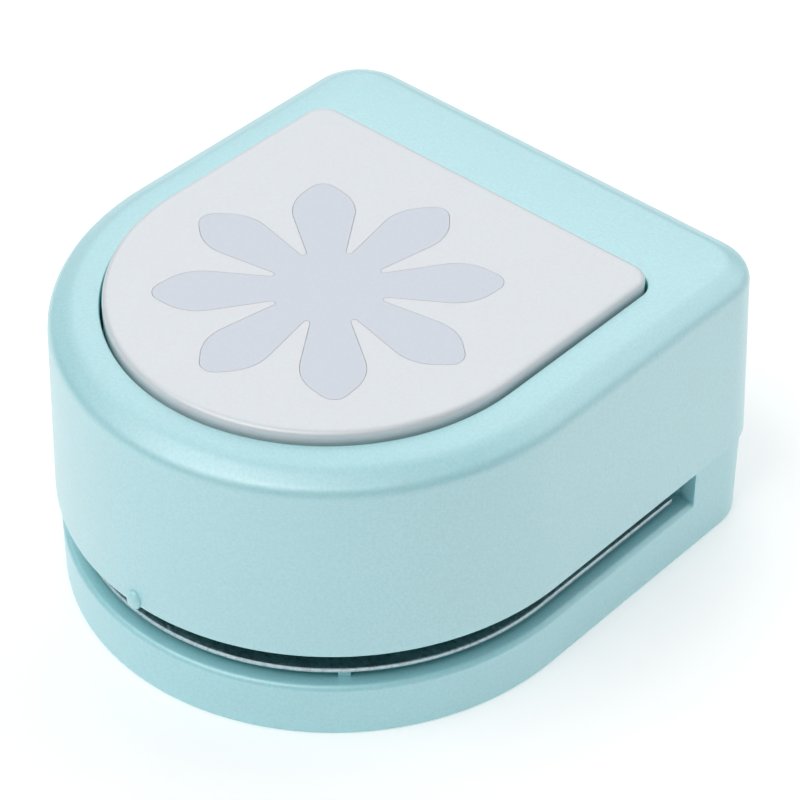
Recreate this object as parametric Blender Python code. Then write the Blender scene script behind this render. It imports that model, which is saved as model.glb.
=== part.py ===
"""Hand punch for paper: a D-shaped body, a press cap and a flower-shaped blade.

Metres, +Z up. The rounded front with the paper slot faces -Y and the flat back faces +Y.
The origin lies under the middle of the body, in the plane that it stands on.
"""
import math

import bmesh
import bpy

MM = 0.001

# Fits
GAP = 0.3 * MM                    # clearance between neighbouring pieces
OVERCUT = 1.0 * MM                # how far a cutter runs past the face it opens
WELD = 0.6 * MM                   # how far a joined feature reaches into its body

# Flower, which sets the size of everything round it
FLOWER_RADIUS = 22.3 * MM         # reach of a petal
PETALS = 8
ROOT_RADIUS = 0.42 * MM           # end of the narrow gap between two petals
FLOWER_SHIFT = -1.85 * MM         # centre of the flower from the centre of the rounded front
INLAY_THICKNESS = 0.6 * MM

# Proportions of the flower's figure, as shares of its radius
PETAL_POINT = 1.042               # where a petal's two tip lines would cross
PETAL_SHOULDER = 0.807            # where its flank and tip line would cross
PETAL_HALF = 0.2055               # half width there
PETAL_ROOT = 0.256                # where the flanks of two neighbours would cross
TIP_ROUND = 0.089
SHOULDER_ROUND = 0.284

# Plan of the body and the cap
CAP_SIDE = 6.45 * MM              # flower to the cap's side
CAP_REAR = 7.35 * MM              # flower to the cap's back
CAP_CORNER = 3.2 * MM
CAP_SHIFT = -1.1 * MM             # centre of the cap's rounded front from the body's
CAP_BULGE = 1.01                  # front reach over half width, cap and opening
CAP_PLAY = 0.55 * MM              # all round between cap and opening
HOUSING_SIDE = 7.8 * MM           # opening to the housing's side, at its lower edge
HOUSING_REAR = 16.15 * MM         # opening to the housing's back, at its lower edge
HOUSING_CORNER = 8.4 * MM
BODY_BULGE = 1.018                # front reach over half width, housing, base and plates
BASE_INSET = 0.45 * MM            # base wall behind the housing wall
NUB_PROUD = 0.8 * MM
NUB_HALF_WIDTH = 0.95 * MM
NUB_HALF_HEIGHT = 1.45 * MM
NUB_RISE = 0.8 * MM               # centre above the housing's lower edge

# Base
BASE_WALL = 2.0 * MM
RIM_TOP = 8.05 * MM
FOOT_ROUND = 0.4 * MM
COVER_THICKNESS = 2.4 * MM
OUTLET_MARGIN = 2.0 * MM          # round outlet beyond the flower
LEDGE_OUTER = 3.4 * MM            # ledge faces, measured in from the base's outer face
LEDGE_INNER = 6.2 * MM
LEDGE_DEPTH = 3.55 * MM
LEDGE_WEB = 1.5 * MM
TAB_WIDTH = 1.6 * MM
TAB_DEPTH = 0.65 * MM             # from beside the die plate outward
TAB_RISE = 0.95 * MM
TAB_ANGLES = (-45, 45)            # degrees from the front

# Plates and back block
DIE_THICKNESS = 1.35 * MM
PAPER_GAP = 2.0 * MM
GUIDE_THICKNESS = 3.0 * MM
PLATE_SIDE_PLAY = 1.7 * MM        # die plate edge inside the base's outer face
GUIDE_INSET = 0.75 * MM           # guide plate edge inside the die plate edge
SLOT_END = 15.3 * MM              # front face of the back block, from the housing's back
SLOT_END_WALL = 2.0 * MM
SLOT_END_STEP = 0.2 * MM          # front and top of the end walls behind those of the block
PLATE_SHOULDER = 2.7 * MM         # where the plates step in, ahead of the back block
PAPER_STOP = 1.4 * MM             # front edge of the spacer, ahead of the back block
TAIL_INSET = 6.1 * MM             # side of the plates' tail, from the housing's side
TAIL_BACK_PLAY = 0.75 * MM        # plates' back edge from the base's inner wall
TAIL_CORNER = 2.0 * MM

# Housing
SLOT_HEIGHT = 5.8 * MM            # rim to the housing's lower edge
SIDE_HEIGHT = 24.95 * MM          # lower edge to where the side rounds over
SHOULDER_RISE = 1.5 * MM
CREASE_RISE = 2.45 * MM
OPENING_RISE = 2.95 * MM
WALL = 2.2 * MM
WALL_DRAFT = 0.65 * MM            # how far the side walls lean in up to the shoulder
BACK_DRAFT = 1.4 * MM
SHOULDER_INSET = 0.9 * MM
CREASE_INSET = 2.95 * MM
OPENING_ROUND = 0.5 * MM
COLLAR_WALL = 1.5 * MM
COLLAR_DEPTH = 5.65 * MM

# Press
TRAVEL = 5.5 * MM
CAP_PROUD = 1.45 * MM             # cap above the opening
CAP_ROOF = 2.4 * MM
CAP_WALL = 1.8 * MM
CAP_EDGE = 0.9 * MM               # rounded edge of the cap
HOLDER_THICKNESS = 3.3 * MM
HOLDER_LIP = 1.25 * MM            # how far the holder reaches under the collar
BLADE_LIFT = 0.35 * MM            # blade edge above the guide plate's underside at rest
POST_RADIUS = 1.5 * MM
POST_TOP_PLAY = 0.4 * MM
SPRING_RADIUS = 2.75 * MM         # centre of the wire
WIRE_RADIUS = 0.45 * MM
SPRING_TURNS = 7
SPRING_END_PITCH = 1.2 * MM
RING_INSET = 1.2 * MM             # ring of front springs and cap screws, inside the petal tips
REAR_SPRING_X = 6.0 * MM          # from the cap's side
REAR_SPRING_Y = 6.8 * MM          # from the cap's back

# Fasteners
SCREW_RADIUS = 1.2 * MM
SCREW_HEAD_RADIUS = 2.6 * MM
SCREW_HEAD = 0.9 * MM
SCREW_BITE = 10.0 * MM            # length in the housing's bosses
CAP_SCREW_BITE = 3.6 * MM
BOSS_RADIUS = 3.0 * MM
BASE_SCREW_X = 4.0 * MM           # outer screws, from the tail's side
BASE_SCREW_Y = 7.0 * MM           # from the housing's back
RIVET_RADIUS = 1.5 * MM
RIVET_HEAD_RADIUS = 2.6 * MM
RIVET_HEAD = 0.9 * MM
RIVET_Y = 12.2 * MM               # from the housing's back
END_CHAMFER = 0.4 * MM            # on posts and screw tips

# Facets
FRONT_STEPS = 32
CORNER_STEPS = 4
ROUND_STEPS = 12
OUTLET_STEPS = 40
SPRING_STEPS = 9                  # per turn
SHOULDER_STEPS = 3
TIP_STEPS = 2
ROOT_STEPS = 2

# Plan, worked out from the flower outward; lengths from the centre of the rounded front
CAP_HALF = FLOWER_RADIUS + CAP_SIDE
CAP_BACK = FLOWER_SHIFT - CAP_SHIFT + FLOWER_RADIUS + CAP_REAR
HOUSING_HALF = CAP_HALF + CAP_PLAY + HOUSING_SIDE
HOUSING_BACK = CAP_SHIFT + CAP_BACK + CAP_PLAY + HOUSING_REAR
BASE_HALF = HOUSING_HALF - BASE_INSET
BASE_BACK = HOUSING_BACK - BASE_INSET
BASE_CORNER = HOUSING_CORNER - BASE_INSET
PLATE_HALF = BASE_HALF - PLATE_SIDE_PLAY
TAIL_HALF = HOUSING_HALF - TAIL_INSET
TAIL_BACK = BASE_BACK - BASE_WALL - TAIL_BACK_PLAY

# Places in the part's frame, whose origin is the middle of the footprint
FRONT_REACH = HOUSING_HALF * BODY_BULGE + NUB_PROUD
BODY_Y = (FRONT_REACH - HOUSING_BACK) / 2
CAP_Y = BODY_Y + CAP_SHIFT
FLOWER_Y = BODY_Y + FLOWER_SHIFT
BACK_Y = BODY_Y + HOUSING_BACK
BLOCK_Y = BACK_Y - SLOT_END

# Heights, from the base upward and from the cap downward
SLOT_TOP = RIM_TOP + SLOT_HEIGHT
BLOCK_TOP = SLOT_TOP - GAP
DIE_UNDER = RIM_TOP + GAP
DIE_TOP = DIE_UNDER + DIE_THICKNESS
GUIDE_UNDER = DIE_TOP + PAPER_GAP
GUIDE_TOP = GUIDE_UNDER + GUIDE_THICKNESS
SIDE_TOP = SLOT_TOP + SIDE_HEIGHT
SHOULDER_TOP = SIDE_TOP + SHOULDER_RISE
OPENING_TOP = SIDE_TOP + OPENING_RISE
COLLAR_BOTTOM = OPENING_TOP - COLLAR_DEPTH
HOLDER_TOP = COLLAR_BOTTOM - GAP
HOLDER_UNDER = HOLDER_TOP - HOLDER_THICKNESS
BLADE_EDGE = GUIDE_UNDER + BLADE_LIFT
CAP_BOTTOM = HOLDER_TOP + GAP
CAP_TOP = OPENING_TOP + CAP_PROUD
ROOF_UNDER = CAP_TOP - CAP_ROOF
HEAD_POCKET = SCREW_HEAD + 2 * GAP


def remove_all_objects():
    for obj in list(bpy.data.objects):
        bpy.data.objects.remove(obj, do_unlink=True)


def make_material(name, colour, roughness, metallic=0.0):
    material = bpy.data.materials.new(name)
    material.use_nodes = True
    shader = material.node_tree.nodes["Principled BSDF"]
    shader.inputs["Base Color"].default_value = (*colour, 1.0)
    shader.inputs["Roughness"].default_value = roughness
    shader.inputs["Metallic"].default_value = metallic
    return material


def make_object(name, bm, material=None):
    """Turn a bmesh into an object with its faces out and only its real edges sharp."""
    bmesh.ops.recalc_face_normals(bm, faces=bm.faces)
    mesh = bpy.data.meshes.new(name)
    bm.to_mesh(mesh)
    bm.free()
    mesh.shade_smooth()
    mesh.set_sharp_from_angle(angle=math.radians(35))
    obj = bpy.data.objects.new(name, mesh)
    bpy.context.scene.collection.objects.link(obj)
    if material:
        mesh.materials.append(material)
    return obj


def apply_shape(target, name, bm, operation):
    """Cut a bmesh out of the target, or join it to the target."""
    tool = make_object(name, bm)
    tool.hide_render = True
    tool.display_type = "WIRE"
    modifier = target.modifiers.new(name, "BOOLEAN")
    modifier.operation = operation
    modifier.solver = "EXACT"
    modifier.object = tool


# Outlines: lists of (x, y) that run counter-clockwise, seen from above

def arc(centre_x, centre_y, radius_x, radius_y, start, end, steps):
    points = []
    for step in range(steps + 1):
        angle = math.radians(start + (end - start) * step / steps)
        points.append((centre_x + radius_x * math.cos(angle), centre_y + radius_y * math.sin(angle)))
    return points


def circle(x, y, radius, steps=ROUND_STEPS):
    return arc(x, y, radius, radius, 0, 360, steps)[:-1]


def d_outline(half, back, corner, centre_y, bulge):
    """Rounded front and square back, with the same number of points at every size."""
    corner_y = centre_y + back - corner
    points = arc(0, centre_y, half, half * bulge, -180, 0, FRONT_STEPS)
    points += arc(half - corner, corner_y, corner, corner, 0, 90, CORNER_STEPS)
    points += arc(corner - half, corner_y, corner, corner, 90, 180, CORNER_STEPS)
    return points


def housing_outline(side_inset, back_inset):
    inset = min(side_inset, HOUSING_CORNER - WALL)
    return d_outline(HOUSING_HALF - side_inset, HOUSING_BACK - back_inset,
                     HOUSING_CORNER - inset, BODY_Y, BODY_BULGE)


def base_outline(inset):
    return d_outline(BASE_HALF - inset, BASE_BACK - inset, BASE_CORNER - min(inset, BASE_CORNER / 2),
                     BODY_Y, BODY_BULGE)


def cap_outline(outset):
    return d_outline(CAP_HALF + outset, CAP_BACK + outset, CAP_CORNER + outset, CAP_Y, CAP_BULGE)


def tail_outline(front_y):
    """The plates' narrower back part, from a straight front edge to rounded back corners."""
    corner_x, corner_y = TAIL_HALF - TAIL_CORNER, BODY_Y + TAIL_BACK - TAIL_CORNER
    points = [(TAIL_HALF, front_y)]
    points += arc(corner_x, corner_y, TAIL_CORNER, TAIL_CORNER, 0, 90, CORNER_STEPS)
    points += arc(-corner_x, corner_y, TAIL_CORNER, TAIL_CORNER, 90, 180, CORNER_STEPS)
    return points + [(-TAIL_HALF, front_y)]


def plate_outline(half):
    """D-shaped front, stepped in at the back to pass between the ends of the slot."""
    shoulder_y = BLOCK_Y - PLATE_SHOULDER
    front = arc(0, BODY_Y, half, half * BODY_BULGE, -180, 0, FRONT_STEPS)
    return front + [(half, shoulder_y)] + tail_outline(shoulder_y) + [(-half, shoulder_y)]


def rounded_corner(before, corner, after, radius, steps):
    """The arc that rounds a corner between two straight lines."""
    to_before = (before[0] - corner[0], before[1] - corner[1])
    to_after = (after[0] - corner[0], after[1] - corner[1])
    heading_before = math.atan2(to_before[1], to_before[0])
    heading_after = math.atan2(to_after[1], to_after[0])
    opening = (heading_after - heading_before + math.pi) % (2 * math.pi) - math.pi
    middle = heading_before + opening / 2
    reach = radius / math.sin(abs(opening) / 2)
    centre = (corner[0] + reach * math.cos(middle), corner[1] + reach * math.sin(middle))
    sweep = math.pi - abs(opening)
    turn = math.copysign(sweep, -opening)
    first = middle + math.pi - turn / 2
    return [(centre[0] + radius * math.cos(first + turn * step / steps),
             centre[1] + radius * math.sin(first + turn * step / steps)) for step in range(steps + 1)]


def flower_outline(outset=0.0):
    """Eight blunt petals; the outset moves the whole outline outward."""
    pitch = 2 * math.pi / PETALS
    along, across = FLOWER_RADIUS * PETAL_SHOULDER, FLOWER_RADIUS * PETAL_HALF
    root_x = FLOWER_RADIUS * PETAL_ROOT * math.cos(pitch / 2)
    root_y = FLOWER_RADIUS * PETAL_ROOT * math.sin(pitch / 2)
    right_root, left_root = (root_x, -root_y), (root_x, root_y)
    right, left, tip = (along, -across), (along, across), (FLOWER_RADIUS * PETAL_POINT, 0.0)
    next_right = (along * math.cos(pitch) + across * math.sin(pitch),
                  along * math.sin(pitch) - across * math.cos(pitch))
    tip_radius, shoulder_radius = FLOWER_RADIUS * TIP_ROUND, FLOWER_RADIUS * SHOULDER_ROUND
    petal = rounded_corner(right_root, right, tip, shoulder_radius, SHOULDER_STEPS)
    petal += rounded_corner(right, tip, left, tip_radius, TIP_STEPS)
    petal += rounded_corner(tip, left, left_root, shoulder_radius, SHOULDER_STEPS)
    petal += rounded_corner(left, left_root, next_right, ROOT_RADIUS, ROOT_STEPS)
    points = []
    for index in range(PETALS):
        turn_cos, turn_sin = math.cos(index * pitch), math.sin(index * pitch)
        points += [(x * turn_cos - y * turn_sin, x * turn_sin + y * turn_cos) for x, y in petal]
    points = offset_outline(points, outset)
    return [(x, y + FLOWER_Y) for x, y in points]


def offset_outline(points, distance):
    """Move each point outward along the outline's normal."""
    moved = []
    for index, (x, y) in enumerate(points):
        previous, following = points[index - 1], points[(index + 1) % len(points)]
        normals = []
        for start, end in ((previous, (x, y)), ((x, y), following)):
            length = math.hypot(end[0] - start[0], end[1] - start[1])
            normals.append(((end[1] - start[1]) / length, (start[0] - end[0]) / length))
        (ax, ay), (bx, by) = normals
        scale = distance / (1 + ax * bx + ay * by)
        moved.append((x + (ax + bx) * scale, y + (ay + by) * scale))
    return moved


# Solids

def add_loft(bm, loops, ring=False):
    """Skin a stack of (outline, z) loops; a ring closes on its first loop and has no caps."""
    rows = [[bm.verts.new((x, y, z)) for x, y in outline] for outline, z in loops]
    pairs = list(zip(rows, rows[1:]))
    if ring:
        pairs.append((rows[-1], rows[0]))
    for lower, upper in pairs:
        for index in range(len(lower)):
            following = (index + 1) % len(lower)
            bm.faces.new((lower[index], lower[following], upper[following], upper[index]))
    if not ring:
        bm.faces.new(list(reversed(rows[0])))
        bm.faces.new(rows[-1])


def add_prism(bm, outline, bottom, top):
    add_loft(bm, [(outline, bottom), (outline, top)])


def box_outline(x_low, x_high, y_low, y_high):
    return [(x_low, y_low), (x_high, y_low), (x_high, y_high), (x_low, y_high)]


def add_turned(bm, x, y, profile):
    """A round piece from (radius, z) pairs, bottom to top."""
    add_loft(bm, [(circle(x, y, radius), z) for radius, z in profile])


def base_screw_places():
    outer = TAIL_HALF - BASE_SCREW_X
    return [(outer * share, BACK_Y - BASE_SCREW_Y) for share in (-1, -1 / 3, 1 / 3, 1)]


def rivet_places():
    outer = TAIL_HALF - BASE_SCREW_X
    return [(outer * share, BACK_Y - RIVET_Y) for share in (-2 / 3, 2 / 3)]


def valley_place(steps_from_right):
    """A point between two petals, counted in half petal pitches from +X."""
    angle = math.pi / PETALS * steps_from_right
    ring = FLOWER_RADIUS - RING_INSET
    return ring * math.cos(angle), FLOWER_Y + ring * math.sin(angle)


def spring_places():
    rear_x, rear_y = CAP_HALF - REAR_SPRING_X, CAP_Y + CAP_BACK - REAR_SPRING_Y
    return [valley_place(-5), valley_place(-3), (rear_x, rear_y), (-rear_x, rear_y)]


def cap_screw_places():
    return [valley_place(steps) for steps in (-7, -1, 1, 7)]


def make_base_shell(material):
    bm = bmesh.new()
    add_loft(bm, [
        (base_outline(FOOT_ROUND), 0.0),
        (base_outline(0.0), FOOT_ROUND),
        (base_outline(0.0), BLOCK_TOP),
        (base_outline(BASE_WALL), BLOCK_TOP),
        (base_outline(BASE_WALL), 0.0),
    ], ring=True)
    base = make_object("base_shell", bm, material)

    slot = bmesh.new()
    reach = HOUSING_HALF * 2
    add_prism(slot, box_outline(-reach, reach, -reach, BLOCK_Y), RIM_TOP, SLOT_TOP + OVERCUT)
    apply_shape(base, "base_slot_cut", slot, "DIFFERENCE")

    ledge = bmesh.new()
    web_start = BASE_WALL - WELD
    web_bottom = RIM_TOP - LEDGE_DEPTH
    web_top = web_bottom + LEDGE_WEB
    add_loft(ledge, [
        (base_outline(web_start), web_bottom),
        (base_outline(web_start), web_top),
        (base_outline(LEDGE_OUTER), web_top),
        (base_outline(LEDGE_OUTER), RIM_TOP),
        (base_outline(LEDGE_INNER), RIM_TOP),
        (base_outline(LEDGE_INNER), web_bottom),
    ], ring=True)
    apply_shape(base, "base_ledge", ledge, "UNION")

    bosses = bmesh.new()
    for x, y in base_screw_places():
        add_prism(bosses, circle(x, y, BOSS_RADIUS), COVER_THICKNESS + GAP, RIM_TOP - GAP)
    apply_shape(base, "base_bosses", bosses, "UNION")

    ends = bmesh.new()
    inner_x, outer_x = TAIL_HALF + GAP, BASE_HALF - BASE_WALL + WELD
    near_y, far_y = BLOCK_Y + SLOT_END_STEP, BLOCK_Y + SLOT_END_WALL
    for side in (-1, 1):
        low_x, high_x = sorted((side * inner_x, side * outer_x))
        outline = box_outline(low_x, high_x, near_y, far_y)
        add_prism(ends, outline, RIM_TOP - OVERCUT, BLOCK_TOP - SLOT_END_STEP)
    apply_shape(base, "base_slot_ends", ends, "UNION")

    tabs = bmesh.new()
    for degrees in TAB_ANGLES:
        heading = math.radians(degrees)
        out_x, out_y = math.sin(heading), -math.cos(heading) * BODY_BULGE
        near, far = PLATE_HALF + GAP, PLATE_HALF + GAP + TAB_DEPTH
        side_x, side_y = math.cos(heading) * TAB_WIDTH / 2, math.sin(heading) * TAB_WIDTH / 2
        corners = [(out_x * reach + side * side_x, BODY_Y + out_y * reach + side * side_y)
                   for reach, side in ((near, -1), (near, 1), (far, 1), (far, -1))]
        add_prism(tabs, corners, RIM_TOP - WELD, RIM_TOP + TAB_RISE)
    apply_shape(base, "base_tabs", tabs, "UNION")

    holes = bmesh.new()
    for x, y in base_screw_places():
        add_prism(holes, circle(x, y, SCREW_RADIUS + GAP), COVER_THICKNESS - OVERCUT, RIM_TOP + OVERCUT)
    apply_shape(base, "base_screw_holes", holes, "DIFFERENCE")


def make_bottom_cover(material):
    bm = bmesh.new()
    add_prism(bm, base_outline(BASE_WALL + GAP), 0.0, COVER_THICKNESS)
    cover = make_object("bottom_cover", bm, material)
    cuts = bmesh.new()
    outlet = circle(0, FLOWER_Y, FLOWER_RADIUS + OUTLET_MARGIN, OUTLET_STEPS)
    add_prism(cuts, outlet, -OVERCUT, COVER_THICKNESS + OVERCUT)
    for x, y in base_screw_places():
        add_loft(cuts, [
            (circle(x, y, SCREW_HEAD_RADIUS + GAP), -OVERCUT),
            (circle(x, y, SCREW_HEAD_RADIUS + GAP), HEAD_POCKET),
            (circle(x, y, SCREW_RADIUS + GAP), HEAD_POCKET),
            (circle(x, y, SCREW_RADIUS + GAP), COVER_THICKNESS + OVERCUT),
        ])
    apply_shape(cover, "bottom_cover_cuts", cuts, "DIFFERENCE")


def make_plate(name, half, bottom, top, extra_holes, material):
    """A steel plate with the flower opening and the holes of its fasteners."""
    bm = bmesh.new()
    add_prism(bm, plate_outline(half), bottom, top)
    plate = make_object(name, bm, material)
    cuts = bmesh.new()
    outlines = [flower_outline(GAP)] + fastener_holes() + extra_holes
    for outline in outlines:
        add_prism(cuts, outline, bottom - OVERCUT, top + OVERCUT)
    apply_shape(plate, name + "_cuts", cuts, "DIFFERENCE")


def fastener_holes():
    holes = [circle(x, y, SCREW_RADIUS + GAP) for x, y in base_screw_places()]
    return holes + [circle(x, y, RIVET_RADIUS + GAP) for x, y in rivet_places()]


def make_rear_spacer(material):
    bottom, top = DIE_TOP + GAP, GUIDE_UNDER - GAP
    bm = bmesh.new()
    add_prism(bm, tail_outline(BLOCK_Y - PAPER_STOP), bottom, top)
    spacer = make_object("rear_spacer", bm, material)
    cuts = bmesh.new()
    for outline in fastener_holes():
        add_prism(cuts, outline, bottom - OVERCUT, top + OVERCUT)
    apply_shape(spacer, "rear_spacer_cuts", cuts, "DIFFERENCE")


def make_upper_housing(material):
    shoulder_side = WALL_DRAFT + SHOULDER_INSET
    shoulder_back = BACK_DRAFT + SHOULDER_INSET
    crease_side = WALL_DRAFT + CREASE_INSET
    crease_back = BACK_DRAFT + CREASE_INSET
    ceiling = SHOULDER_TOP - WALL
    collar = CAP_PLAY + COLLAR_WALL
    bm = bmesh.new()
    add_loft(bm, [
        (housing_outline(0, 0), SLOT_TOP),
        (housing_outline(WALL_DRAFT, BACK_DRAFT), SIDE_TOP),
        (housing_outline(WALL_DRAFT + SHOULDER_INSET * 0.3, BACK_DRAFT + SHOULDER_INSET * 0.3),
         SIDE_TOP + SHOULDER_RISE * 0.65),
        (housing_outline(shoulder_side, shoulder_back), SHOULDER_TOP),
        (housing_outline(crease_side, crease_back), SIDE_TOP + CREASE_RISE),
        (cap_outline(CAP_PLAY + OPENING_ROUND), OPENING_TOP),
        (cap_outline(CAP_PLAY), OPENING_TOP - OPENING_ROUND),
        (cap_outline(CAP_PLAY), COLLAR_BOTTOM),
        (cap_outline(collar), COLLAR_BOTTOM),
        (cap_outline(collar), ceiling),
        (housing_outline(WALL_DRAFT + WALL, BACK_DRAFT + WALL), ceiling - WALL / 2),
        (housing_outline(WALL, WALL), SLOT_TOP),
    ], ring=True)
    housing = make_object("upper_housing", bm, material)

    bosses = bmesh.new()
    for x, y in base_screw_places():
        add_prism(bosses, circle(x, y, BOSS_RADIUS), GUIDE_TOP + GAP, ceiling + WELD)
    apply_shape(housing, "housing_bosses", bosses, "UNION")

    nub = bmesh.new()
    bmesh.ops.create_uvsphere(nub, u_segments=16, v_segments=10, radius=1.0)
    bmesh.ops.scale(nub, vec=(NUB_HALF_WIDTH, NUB_PROUD, NUB_HALF_HEIGHT), verts=nub.verts)
    nub_place = (0, BODY_Y - HOUSING_HALF * BODY_BULGE, SLOT_TOP + NUB_RISE)
    bmesh.ops.translate(nub, vec=nub_place, verts=nub.verts)
    apply_shape(housing, "housing_nub", nub, "UNION")

    holes = bmesh.new()
    for x, y in base_screw_places():
        hole_top = GUIDE_TOP + GAP + SCREW_BITE + GAP
        add_prism(holes, circle(x, y, SCREW_RADIUS + GAP), GUIDE_TOP - OVERCUT, hole_top)
    apply_shape(housing, "housing_screw_holes", holes, "DIFFERENCE")


def make_press_cap(material):
    bm = bmesh.new()
    add_loft(bm, [
        (cap_outline(-CAP_WALL), ROOF_UNDER),
        (cap_outline(-CAP_WALL), CAP_BOTTOM),
        (cap_outline(0), CAP_BOTTOM),
        (cap_outline(0), CAP_TOP - CAP_EDGE),
        (cap_outline(-CAP_EDGE * 0.3), CAP_TOP - CAP_EDGE * 0.3),
        (cap_outline(-CAP_EDGE), CAP_TOP),
    ])
    cap = make_object("press_cap", bm, material)

    bosses = bmesh.new()
    for x, y in cap_screw_places():
        add_prism(bosses, circle(x, y, BOSS_RADIUS), CAP_BOTTOM, ROOF_UNDER + WELD)
    apply_shape(cap, "cap_bosses", bosses, "UNION")

    cuts = bmesh.new()
    for x, y in cap_screw_places():
        add_prism(cuts, circle(x, y, SCREW_RADIUS + GAP), CAP_BOTTOM - OVERCUT,
                  CAP_BOTTOM + CAP_SCREW_BITE + GAP)
    add_prism(cuts, flower_outline(), CAP_TOP - INLAY_THICKNESS - GAP, CAP_TOP + OVERCUT)
    apply_shape(cap, "cap_cuts", cuts, "DIFFERENCE")


def make_flower_inlay(material):
    bm = bmesh.new()
    add_prism(bm, flower_outline(-GAP), CAP_TOP - INLAY_THICKNESS, CAP_TOP)
    make_object("flower_inlay", bm, material)


def make_punch_holder(material):
    bm = bmesh.new()
    add_prism(bm, cap_outline(CAP_PLAY + HOLDER_LIP), HOLDER_UNDER, HOLDER_TOP)
    holder = make_object("punch_holder", bm, material)
    cuts = bmesh.new()
    for x, y in spring_places():
        add_prism(cuts, circle(x, y, POST_RADIUS + GAP), HOLDER_UNDER - OVERCUT, HOLDER_TOP + OVERCUT)
    for x, y in cap_screw_places():
        add_loft(cuts, [
            (circle(x, y, SCREW_HEAD_RADIUS + GAP), HOLDER_UNDER - OVERCUT),
            (circle(x, y, SCREW_HEAD_RADIUS + GAP), HOLDER_UNDER + HEAD_POCKET),
            (circle(x, y, SCREW_RADIUS + GAP), HOLDER_UNDER + HEAD_POCKET),
            (circle(x, y, SCREW_RADIUS + GAP), HOLDER_TOP + OVERCUT),
        ])
    apply_shape(holder, "punch_holder_cuts", cuts, "DIFFERENCE")


def make_punch_blade(material):
    bm = bmesh.new()
    add_prism(bm, flower_outline(), BLADE_EDGE, HOLDER_UNDER - GAP)
    make_object("punch_blade", bm, material)


def make_guide_posts(material):
    top = ROOF_UNDER - TRAVEL - POST_TOP_PLAY
    for number, (x, y) in enumerate(spring_places(), start=1):
        bm = bmesh.new()
        add_turned(bm, x, y, [
            (POST_RADIUS, GUIDE_UNDER + GAP),
            (POST_RADIUS, top - END_CHAMFER),
            (POST_RADIUS - END_CHAMFER, top),
        ])
        make_object(f"guide_post_{number}", bm, material)


def spring_height(turn, low, high):
    """Centre height of the wire: close end turns and an even pitch between them."""
    middle_pitch = (high - low - 2 * SPRING_END_PITCH) / (SPRING_TURNS - 2)
    if turn < 1:
        return low + SPRING_END_PITCH * turn
    if turn > SPRING_TURNS - 1:
        return high - SPRING_END_PITCH * (SPRING_TURNS - turn)
    return low + SPRING_END_PITCH + middle_pitch * (turn - 1)


def make_return_springs(material):
    low = GUIDE_TOP + GAP + WIRE_RADIUS
    high = HOLDER_UNDER - GAP - WIRE_RADIUS
    for number, (x, y) in enumerate(spring_places(), start=1):
        curve = bpy.data.curves.new(f"return_spring_{number}", "CURVE")
        curve.dimensions = "3D"
        curve.bevel_depth = WIRE_RADIUS
        curve.bevel_resolution = 1
        curve.use_fill_caps = True
        count = SPRING_TURNS * SPRING_STEPS + 1
        spline = curve.splines.new("POLY")
        spline.points.add(count - 1)
        for index in range(count):
            turn = index / SPRING_STEPS
            angle = 2 * math.pi * turn
            spline.points[index].co = (
                SPRING_RADIUS * math.cos(angle), SPRING_RADIUS * math.sin(angle),
                spring_height(turn, low, high), 1.0)
        curve.materials.append(material)
        spring = bpy.data.objects.new(f"return_spring_{number}", curve)
        spring.location = (x, y, 0)
        bpy.context.scene.collection.objects.link(spring)


def make_screws(prefix, places, head_bottom, tip, material):
    """Cheese-head screws that point up."""
    for number, (x, y) in enumerate(places, start=1):
        bm = bmesh.new()
        add_turned(bm, x, y, [
            (SCREW_HEAD_RADIUS, head_bottom),
            (SCREW_HEAD_RADIUS, head_bottom + SCREW_HEAD),
            (SCREW_RADIUS, head_bottom + SCREW_HEAD),
            (SCREW_RADIUS, tip - END_CHAMFER),
            (SCREW_RADIUS - END_CHAMFER, tip),
        ])
        make_object(f"{prefix}_{number}", bm, material)


def make_plate_rivets(material):
    shank_low, shank_high = DIE_UNDER - GAP, GUIDE_TOP + GAP
    for number, (x, y) in enumerate(rivet_places(), start=1):
        bm = bmesh.new()
        add_turned(bm, x, y, [
            (RIVET_HEAD_RADIUS - GAP, shank_low - RIVET_HEAD),
            (RIVET_HEAD_RADIUS, shank_low),
            (RIVET_RADIUS, shank_low),
            (RIVET_RADIUS, shank_high),
            (RIVET_HEAD_RADIUS, shank_high),
            (RIVET_HEAD_RADIUS - GAP, shank_high + RIVET_HEAD),
        ])
        make_object(f"plate_rivet_{number}", bm, material)


def parent_press(names):
    """Hang the moving pieces on an empty that stands on the press's axis."""
    axis = bpy.data.objects.new("press_axis", None)
    axis.location = (0, FLOWER_Y, 0)
    bpy.context.scene.collection.objects.link(axis)
    bpy.context.view_layer.update()
    for name in names:
        piece = bpy.data.objects[name]
        piece.parent = axis
        piece.matrix_parent_inverse = axis.matrix_world.inverted()


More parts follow.
